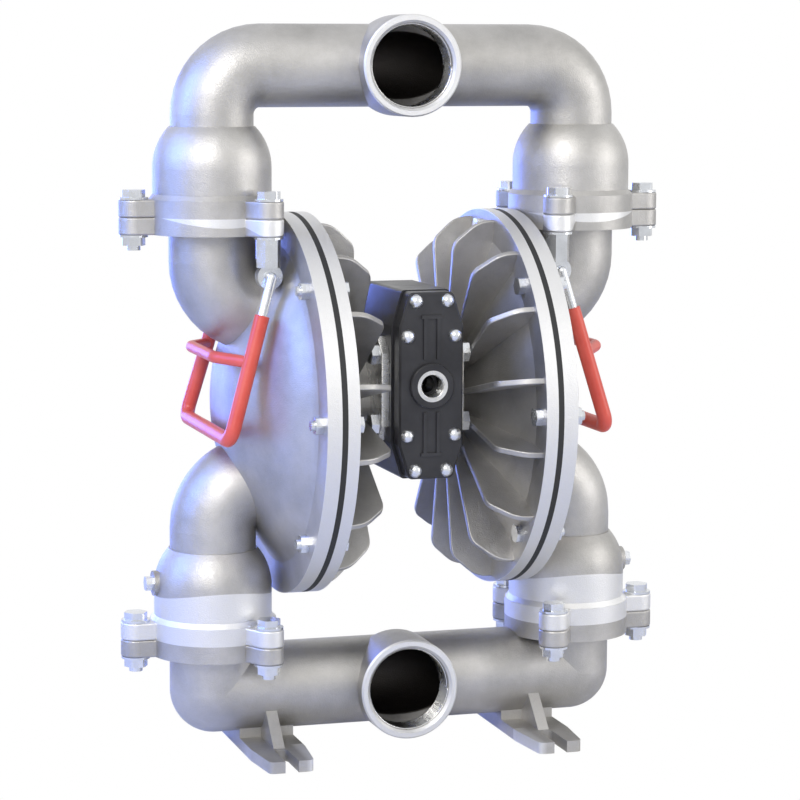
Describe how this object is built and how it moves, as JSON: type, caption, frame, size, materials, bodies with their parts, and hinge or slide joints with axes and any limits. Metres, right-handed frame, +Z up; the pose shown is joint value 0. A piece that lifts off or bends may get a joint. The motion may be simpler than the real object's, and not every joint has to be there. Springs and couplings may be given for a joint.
{
  "type": "air operated diaphragm pump",
  "caption": "Air operated double diaphragm pump: two dished chambers on a central air valve block, ball check valves, cross manifolds with threaded ports, forked feet and two lifting handles.",
  "frame": {"origin": "on the floor under the feet, midway between the two chambers and on the vertical plane of the manifold tubes' axes", "axes": "+X across the chambers to the right-hand one, -Y the way the ports and the air inlet face, +Z up"},
  "size_m": [0.5902, 0.397, 0.7645],
  "materials": {
    "cast_stainless": "blasted satin casting",
    "machined_stainless": "turned bright",
    "zinc_plated": "bright zinc plated",
    "black_block": "semi-gloss black moulded",
    "rubber_black": "matt black",
    "valve_ball": "smooth moulded",
    "bronze": "plain bearing bronze",
    "spool_aluminium": "hard anodised",
    "red_vinyl": "soft vinyl dipped"
  },
  "bodies": {
    "pump_body": {"discharge_manifold": "cast_stainless", "suction_manifold": "cast_stainless", "centre_block": "black_block", "cover_gasket": "rubber_black", "air_cover": "black_block", "inlet_insert": "machined_stainless", "cover_screws": "zinc_plated", "valve_sleeve": "machined_stainless", "valve_plugs": "black_block", "exhaust_plate": "black_block", "upper_bolts": "zinc_plated", "lower_bolts": "zinc_plated", "upper_nuts": "zinc_plated", "lower_nuts": "zinc_plated", "left_outer_chamber": "cast_stainless", "right_outer_chamber": "cast_stainless", "left_inner_chamber": "cast_stainless", "right_inner_chamber": "cast_stainless", "left_diaphragm": "rubber_black", "right_diaphragm": "rubber_black", "left_shaft_bush": "bronze", "right_shaft_bush": "bronze", "left_discharge_seat": "machined_stainless", "right_discharge_seat": "machined_stainless", "left_suction_seat": "machined_stainless", "right_suction_seat": "machined_stainless", "left_clamp_bolts": "zinc_plated", "right_clamp_bolts": "zinc_plated", "left_clamp_nuts": "zinc_plated", "right_clamp_nuts": "zinc_plated", "left_drain_plug": "zinc_plated", "right_drain_plug": "zinc_plated", "left_eye_nuts": "zinc_plated", "right_eye_nuts": "zinc_plated"},
    "diaphragm_shaft": {"shaft": "machined_stainless", "left_inner_plate": "machined_stainless", "right_inner_plate": "machined_stainless", "left_outer_plate": "machined_stainless", "right_outer_plate": "machined_stainless", "left_plate_nut": "zinc_plated", "right_plate_nut": "zinc_plated"},
    "valve_spool": {"valve_spool": "spool_aluminium"},
    "pilot_pin": {"pilot_pin": "machined_stainless"},
    "left_discharge_ball": {"left_discharge_ball": "valve_ball"},
    "left_suction_ball": {"left_suction_ball": "valve_ball"},
    "left_handle": {"left_handle_rod": "zinc_plated", "left_handle_grip": "red_vinyl"},
    "right_discharge_ball": {"right_discharge_ball": "valve_ball"},
    "right_suction_ball": {"right_suction_ball": "valve_ball"},
    "right_handle": {"right_handle_rod": "zinc_plated", "right_handle_grip": "red_vinyl"}
  },
  "joints": [
    {"name": "diaphragm_stroke", "type": "slide", "parent": "pump_body", "child": "diaphragm_shaft", "axis": [1, 0, 0], "range_m": [-0.015, 0.015], "deforming": ["left_diaphragm", "right_diaphragm"]},
    {"name": "spool_shuttle", "type": "slide", "parent": "pump_body", "child": "valve_spool", "axis": [0, 0, 1], "range_m": [-0.01, 0.01]},
    {"name": "pilot_slide", "type": "slide", "parent": "pump_body", "child": "pilot_pin", "axis": [1, 0, 0], "range_m": [-0.006, 0.006]},
    {"name": "left_discharge_ball_lift", "type": "slide", "parent": "pump_body", "child": "left_discharge_ball", "axis": [0, 0, 1], "range_m": [0, 0.02]},
    {"name": "left_suction_ball_lift", "type": "slide", "parent": "pump_body", "child": "left_suction_ball", "axis": [0, 0, 1], "range_m": [0, 0.02]},
    {"name": "left_handle_swing", "type": "hinge", "parent": "pump_body", "child": "left_handle", "pos_m": [-0.1557, 0, 0.5], "axis": [0, 1, 0], "range_deg": [0, 60]},
    {"name": "right_discharge_ball_lift", "type": "slide", "parent": "pump_body", "child": "right_discharge_ball", "axis": [0, 0, 1], "range_m": [0, 0.02]},
    {"name": "right_suction_ball_lift", "type": "slide", "parent": "pump_body", "child": "right_suction_ball", "axis": [0, 0, 1], "range_m": [0, 0.02]},
    {"name": "right_handle_swing", "type": "hinge", "parent": "pump_body", "child": "right_handle", "pos_m": [0.1557, 0, 0.5], "axis": [0, -1, 0], "range_deg": [0, 60]}
  ]
}
